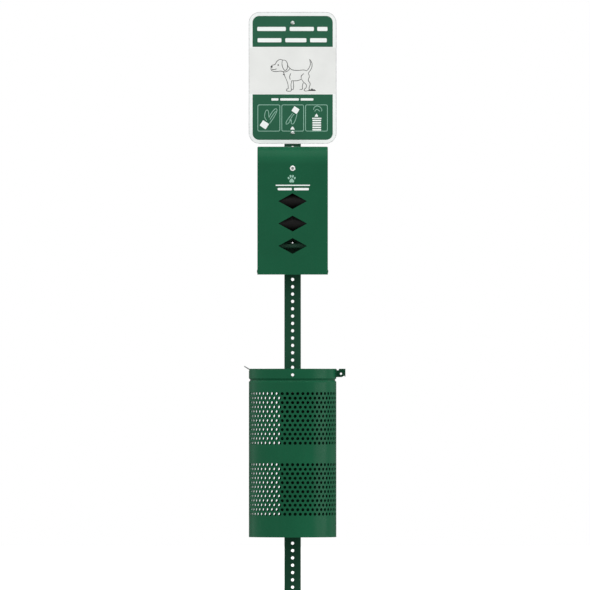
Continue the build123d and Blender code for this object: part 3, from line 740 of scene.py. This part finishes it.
# A plain side view of a standing dog, in line.
dog = []
for pts in (
    # nose, muzzle, forehead and crown
    [(-74.1, 35.4), (-71.7, 43.3), (-60.9, 46.8), (-54.4, 57.2), (-44.0, 63.8), (-32.6, 61.3)],
    # hanging ear
    [(-35.7, 61.3), (-24.9, 60.3), (-18.0, 48.9), (-18.7, 33.0), (-25.3, 25.4), (-32.6, 32.3), (-36.7, 46.1), (-35.7, 61.3)],
    # neck and back
    [(-18.7, 45.4), (-10.4, 34.0), (2.0, 27.1), (20.7, 26.0), (38.0, 27.4), (48.8, 24.3)],
    # raised tail
    [(48.8, 24.3), (57.4, 35.0), (61.6, 49.6), (58.8, 64.8)],
    [(58.8, 64.8), (66.7, 51.6), (65.7, 34.3), (54.6, 16.7)],
    # rump and hind leg
    [(54.6, 16.7), (57.8, 3.9), (54.3, -7.9), (60.9, -20.3), (57.4, -32.8), (56.7, -44.5)],
    [(56.7, -44.5), (41.5, -45.2), (41.8, -38.3), (46.3, -34.2), (47.4, -23.8), (38.0, -14.8), (30.4, -4.4)],
    [(36.6, -16.9), (33.9, -28.6), (33.5, -38.7), (24.2, -40.4)],
    # belly
    [(30.4, -4.4), (16.6, -9.9), (-3.5, -9.9)],
    # fore legs
    [(-3.5, -9.9), (-5.6, -25.2), (-5.2, -44.5), (-20.4, -45.2), (-20.1, -39.0), (-15.3, -36.2), (-16.6, -20.3), (-22.2, -4.4)],
    [(2.0, -11.3), (3.4, -24.5), (2.7, -38.7), (-4.9, -40.4)],
    # chest, throat and jaw
    [(-22.2, -4.4), (-27.7, 7.4), (-31.2, 19.1), (-40.2, 23.3), (-56.8, 21.9), (-69.9, 24.0), (-74.8, 29.5), (-74.1, 35.4)],
    # mouth
    [(-72.7, 30.2), (-63.7, 28.5), (-55.4, 31.6)],
    # shoulder and thigh
    [(-6.3, 15.7), (-10.4, 3.9), (-8.3, -6.5)],
    [(39.1, 15.0), (30.4, 6.7), (29.7, -5.1)],
    # collar
    [(-33.6, 22.2), (-24.3, 20.9), (-14.6, 26.0), (-9.4, 33.0)],
):
    dog.append(stroke(pts, 2.1, taper=0.3))
verts, faces = [], []
for loop in dog:
    loop = placed(loop, SIGN)
    base, n = len(verts), len(loop)
    for y in (SIGN_Y - INK, SIGN_Y - 2 * INK):
        verts += [(x * MM, y * MM, z * MM) for x, z in loop]
    for i in range(n // 2 - 1):
        quad = (i, i + 1, n - 2 - i, n - 1 - i)
        faces.append(tuple(base + k for k in quad))
        faces.append(tuple(base + n + k for k in quad[::-1]))
    for i in range(n):
        j = (i + 1) % n
        faces.append((base + j, base + i, base + n + i, base + n + j))
finish_mesh("sign_dog_lines", verts, faces, M_INK_GREY, 20.0, "station", "sign_face")
marks = [ellipse((-72.7, 38.2), 3.9, 3.0, 10), ellipse((-49.9, 44.4), 2.3, 2.7), ellipse((-30.5, 12.2), 2.6, 2.6)]
mound = [(49.8, -44.9), (55.3, -39.7), (59.8, -41.1), (63.6, -36.2), (68.1, -40.4), (71.9, -39.7), (76.8, -44.9)]
mound = placed(mound, (3.0, 0.0))
marks.append(smooth_line(mound + [mound[0]], 4)[:-1])
sign_art("sign_dark_marks", marks, M_INK_DARK, 1)

# Dispenser cover: a plain paw print over a rule and two plain bars.
lo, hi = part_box("dispenser_cover")
COVER_Y = lo.y / MM
COVER = ((lo.x + hi.x) / 2 / MM, (lo.z + hi.z) / 2 / MM)
c = (-3.1, 104.8)
pad = [(-7.4, -6.4), (-3.9, -7.9), (0, -6.6), (3.9, -7.9), (7.4, -6.4), (8.2, -2.2), (5.0, 2.2), (2.2, 5.8), (-2.2, 5.8),
       (-5.0, 2.2), (-8.2, -2.2), (-7.4, -6.4)]
paw = [smooth_line(placed(pad, c), 5)[:-1]]
for dx, dz, rx, rz, tilt in ((-10.6, 7.4, 2.9, 4.4, 24), (-4.0, 13.6, 3.1, 5.0, 8), (4.0, 13.6, 3.1, 5.0, -8), (10.6, 7.4, 2.9, 4.4, -24)):
    paw.append(ellipse((c[0] + dx, c[1] + dz), rx, rz, tilt))
outline_mesh("cover_paw_print", [[placed(l, COVER)] for l in paw], COVER_Y, 0.12, M_INK_PALE, "dispenser_door")
marks = [rrect((-58.5, 85.5), (59.8, 89.3), 0.8, n=4), rrect((-51.6, 70.2), (-2.8, 78.2), 2.2, n=6),
         rrect((4.8, 70.2), (56.0, 78.2), 2.2, n=6)]
outline_mesh("cover_rule_bars", [[placed(l, COVER)] for l in marks], COVER_Y, 0.12, M_WHITE, "dispenser_door")


# =============================================================== bag rolls
def bag_roll(name, node, body, mat, seed):
    """A wound roll: spiral ends, a free film edge and folded-in creases round it."""
    lo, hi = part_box(node)
    cy, cz = (lo.y + hi.y) / 2 / MM, (lo.z + hi.z) / 2 / MM
    big, small = (hi.z - lo.z) / 2 / MM, 8.02
    x0, x1 = lo.x / MM, hi.x / MM
    rng = np.random.default_rng(seed)
    n_a, n_x = 120, 72
    phase = rng.uniform(0, 6.28, 6)
    verts, faces = [], []

    def radius(a, x):
        step = 0.35 * (a / (2 * math.pi))                      # the film's free edge
        u = (x - x0) / (x1 - x0)
        crease = sum(0.30 * math.exp(-((u - c) * 200 / 1.1) ** 2) for c in (0.25, 0.5, 0.75))
        wave = 0.16 * math.sin(3 * a + phase[0] + 5 * u) + 0.12 * math.sin(7 * a + phase[1] - 9 * u) + 0.10 * math.sin(40 * u + phase[2])
        return big - 0.45 - 0.35 + step * min(1.0, (big - small) / 8) - crease + wave * min(1.0, (big - small) / 8)

    for i in range(n_x + 1):
        x = x0 + 0.4 + (x1 - x0 - 0.8) * i / n_x
        for k in range(n_a):
            a = 2 * math.pi * k / n_a
            r = radius(a, x)
            verts.append((x, cy + r * math.cos(a), cz + r * math.sin(a)))
    for i in range(n_x):
        for k in range(n_a):
            p, q = i * n_a + k, i * n_a + (k + 1) % n_a
            faces.append((p, p + n_a, q + n_a, q))
    for end, sign in ((0, -1), (n_x, 1)):
        last = [end * n_a + k for k in range(n_a)]
        rings = max(4, int((big - small) / 0.45))
        xe = x0 + 0.4 if sign < 0 else x1 - 0.4
        edge_r = [radius(2 * math.pi * k / n_a, xe) for k in range(n_a)]
        for g in range(1, rings + 1):
            t = g / rings
            cur = []
            for k in range(n_a):
                a = 2 * math.pi * k / n_a
                r = edge_r[k] * (1 - t) + small * t
                wind = math.sin(2 * math.pi * r / 1.9 - a)
                lay = 0.35 * wind + 0.25 * math.sin(r * 0.9 + phase[3]) + 0.15 * math.sin(5 * a + r + phase[4])
                ax = xe + sign * (0.0 + 0.4 * lay * min(1.0, (1 - t) * 8, t * 8) - 0.15)
                cur.append(len(verts))
                verts.append((ax, cy + r * math.cos(a), cz + r * math.sin(a)))
            for k in range(n_a):
                q = (k + 1) % n_a
                f = (last[k], last[q], cur[q], cur[k])
                faces.append(f if sign > 0 else f[::-1])
            last = cur
        if end == 0:
            inner0 = last
        else:
            inner1 = last
    for k in range(n_a):
        q = (k + 1) % n_a
        faces.append((inner0[k], inner0[q], inner1[q], inner1[k]))
    verts = [(v[0] * MM, v[1] * MM, v[2] * MM) for v in verts]
    ob = finish_mesh(name, verts, faces, mat, 50.0, body, "bag_film")
    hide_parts(node)
    return ob


bag_roll("bags_on_roll_top", "bag_roll_top", "roll_top", M_FILM, 11)
bag_roll("bags_on_roll_middle", "bag_roll_middle", "roll_middle", M_FILM, 12)
bag_roll("bags_on_roll_bottom", "bag_roll_bottom", "roll_bottom", M_FILM_GREEN, 13)

# =============================================================== stage, light and camera
R_FLOOR, N_FLOOR = 15.0, 96
verts = [(0, 0, 0)]
faces = []
for ring, r in enumerate((0.5, 1.5, 5.0, R_FLOOR)):
    for k in range(N_FLOOR):
        a = 2 * math.pi * k / N_FLOOR
        verts.append((r * math.cos(a), r * math.sin(a), 0))
    for k in range(N_FLOOR):
        p, q = 1 + ring * N_FLOOR + k, 1 + ring * N_FLOOR + (k + 1) % N_FLOOR
        faces.append((0, p, q) if ring == 0 else (p - N_FLOOR, p, q, q - N_FLOOR))
me = bpy.data.meshes.new("floor")
me.from_pydata(verts, [], faces)
floor = bpy.data.objects.new("floor", me)
SC.collection.objects.link(floor)
m, nt, bsdf, obj = material("mat_floor")
nt.links.new(ramp(nt, noise(nt, obj, 3.0, 3.0, 0.5), [(0.3, (0.93, 0.93, 0.93)), (0.7, (0.95, 0.95, 0.95))]), bsdf.inputs["Base Color"])
bsdf.inputs["Roughness"].default_value = 0.9
bsdf.inputs["Specular IOR Level"].default_value = 0.1
me.materials.append(m)
floor.visible_diffuse = False      # the pale floor doesn't throw light back up at the object
floor.visible_glossy = False

# The studio: a lit white backdrop behind the object, softer pale walls, a bright ceiling and a dimmer camera end.
world = bpy.data.worlds.new("studio")
SC.world = world
world.use_nodes = True
wt = world.node_tree
bg = wt.nodes["Background"]
bg.inputs[1].default_value = 1.0
wc = wt.nodes.new("ShaderNodeTexCoord")
sep = wt.nodes.new("ShaderNodeSeparateXYZ")
wt.links.new(wc.outputs["Generated"], sep.inputs[0])


def smooth(fac, lo_in, hi_in):
    n = wt.nodes.new("ShaderNodeMapRange")
    n.interpolation_type = "SMOOTHSTEP"
    n.inputs[1].default_value, n.inputs[2].default_value = lo_in, hi_in
    wt.links.new(fac, n.inputs[0])
    return n.outputs[0]


def grey_mix(fac, a, b):
    n = wt.nodes.new("ShaderNodeMix")
    n.data_type = "RGBA"
    wt.links.new(fac, n.inputs[0])
    for sock, v in ((n.inputs[6], a), (n.inputs[7], b)):
        if isinstance(v, float):
            sock.default_value = (v, v, v, 1)
        else:
            wt.links.new(v, sock)
    return n.outputs[2]


LOW, WALL, LEFT, CEILING, BACKDROP, CAMERA_END, CARD = 0.40, 0.80, 1.12, 1.20, 1.0, 0.70, 0.22
flip = wt.nodes.new("ShaderNodeMath")
flip.operation = "MULTIPLY"
flip.inputs[1].default_value = -1.0
wt.links.new(sep.outputs["X"], flip.inputs[0])
room = grey_mix(smooth(flip.outputs[0], 0.15, 0.75), WALL, LEFT)
room = grey_mix(smooth(sep.outputs["Z"], 0.10, 0.75), room, CEILING)
room = grey_mix(smooth(sep.outputs["Z"], -0.35, -0.03), LOW, room)
flip = wt.nodes.new("ShaderNodeMath")
flip.operation = "MULTIPLY"
flip.inputs[1].default_value = -1.0
wt.links.new(sep.outputs["Y"], flip.inputs[0])
room = grey_mix(smooth(flip.outputs[0], 0.90, 0.99), room, CAMERA_END)
# Two dark cards stand behind the object on both sides: they give rounded metal its dark outer edges.
room = grey_mix(smooth(sep.outputs["Y"], 0.60, 0.80), room, CARD)
room = grey_mix(smooth(sep.outputs["Y"], 0.985, 0.998), room, BACKDROP)
seen = wt.nodes.new("ShaderNodeLightPath")
room = grey_mix(seen.outputs["Is Camera Ray"], room, BACKDROP)
wt.links.new(room, bg.inputs[0])


def area(name, loc, target, size, energy, colour=(1, 1, 1)):
    l = bpy.data.lights.new(name, "AREA")
    l.shape = "RECTANGLE"
    l.size, l.size_y = size
    l.energy = energy
    l.color = colour
    o = bpy.data.objects.new(name, l)
    SC.collection.objects.link(o)
    o.location = loc
    o.rotation_euler = (Vector(target) - Vector(loc)).to_track_quat("-Z", "Y").to_euler()
    o.visible_camera = False
    return o


sun = bpy.data.lights.new("ceiling_sun", "SUN")
sun.energy = 1.35
sun.angle = math.radians(60.0)
suno = bpy.data.objects.new("ceiling_sun", sun)
SC.collection.objects.link(suno)
suno.rotation_euler = (math.radians(12.0), math.radians(5.0), 0)
area("front_soft", (-0.9, -4.2, 2.3), (0, -0.1, 1.0), (3.0, 3.0), 20.0)
area("right_soft", (2.93, -0.80, 0.48), (0, -0.18, 0.48), (2.07, 1.1), 28.0)

LENS, FRAME_M = 1500.0, 2.04152
cam = bpy.data.cameras.new("camera")
cam.sensor_width = 36.0
cam.lens = LENS
cam.clip_start, cam.clip_end = 1.0, 400.0
camo = bpy.data.objects.new("camera", cam)
SC.collection.objects.link(camo)
lo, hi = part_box("sign_panel")
focus_y, below_top = -0.15, 0.9810
camo.location = ((lo.x + hi.x) / 2 + 0.00827, focus_y - FRAME_M * LENS / 36.0, hi.z - below_top)
camo.rotation_euler = (math.radians(90), 0, 0)
SC.camera = camo
SC.view_settings.view_transform = "Standard"
SC.view_settings.look = "None"
